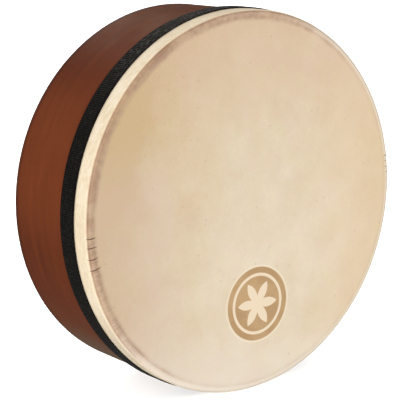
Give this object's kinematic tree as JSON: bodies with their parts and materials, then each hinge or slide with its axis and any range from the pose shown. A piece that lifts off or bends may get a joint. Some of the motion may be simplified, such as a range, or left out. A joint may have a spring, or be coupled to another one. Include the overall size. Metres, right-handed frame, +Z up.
{
  "type": "frame drum",
  "caption": "Deep single-headed frame drum: bent-wood hoop with a goat skin tacked over its front edge under a woven tape, open at the back, standing on its rim",
  "frame": {"origin": "on the floor plane, under the middle of the drum's bounding box", "axes": "+Z up, the drum's axis along Y, the skin faces -Y and the open back faces +Y"},
  "size_m": [0.3574, 0.1206, 0.3575],
  "materials": {
    "stained_wood": "red-brown stain under satin lacquer",
    "goat_skin": "dried rawhide, cream to tan, slightly mottled, low sheen",
    "black_tape": "black woven tape with fine cross ribs",
    "tack_steel": "plain steel tacks, hidden under the tape"
  },
  "bodies": {
    "root": {"hoop": "stained_wood", "goat_skin": "goat_skin", "trim_tape": "black_tape", "skin_tack_01": "tack_steel", "skin_tack_02": "tack_steel", "skin_tack_03": "tack_steel", "skin_tack_04": "tack_steel", "skin_tack_05": "tack_steel", "skin_tack_06": "tack_steel", "skin_tack_07": "tack_steel", "skin_tack_08": "tack_steel", "skin_tack_09": "tack_steel", "skin_tack_10": "tack_steel", "skin_tack_11": "tack_steel", "skin_tack_12": "tack_steel", "skin_tack_13": "tack_steel", "skin_tack_14": "tack_steel", "skin_tack_15": "tack_steel", "skin_tack_16": "tack_steel", "skin_tack_17": "tack_steel", "skin_tack_18": "tack_steel", "skin_tack_19": "tack_steel", "skin_tack_20": "tack_steel", "skin_tack_21": "tack_steel", "skin_tack_22": "tack_steel", "skin_tack_23": "tack_steel", "skin_tack_24": "tack_steel", "skin_tack_25": "tack_steel", "skin_tack_26": "tack_steel", "skin_tack_27": "tack_steel", "skin_tack_28": "tack_steel", "skin_tack_29": "tack_steel", "skin_tack_30": "tack_steel", "skin_tack_31": "tack_steel", "skin_tack_32": "tack_steel", "skin_tack_33": "tack_steel", "skin_tack_34": "tack_steel", "skin_tack_35": "tack_steel", "skin_tack_36": "tack_steel"}
  },
  "joints": []
}
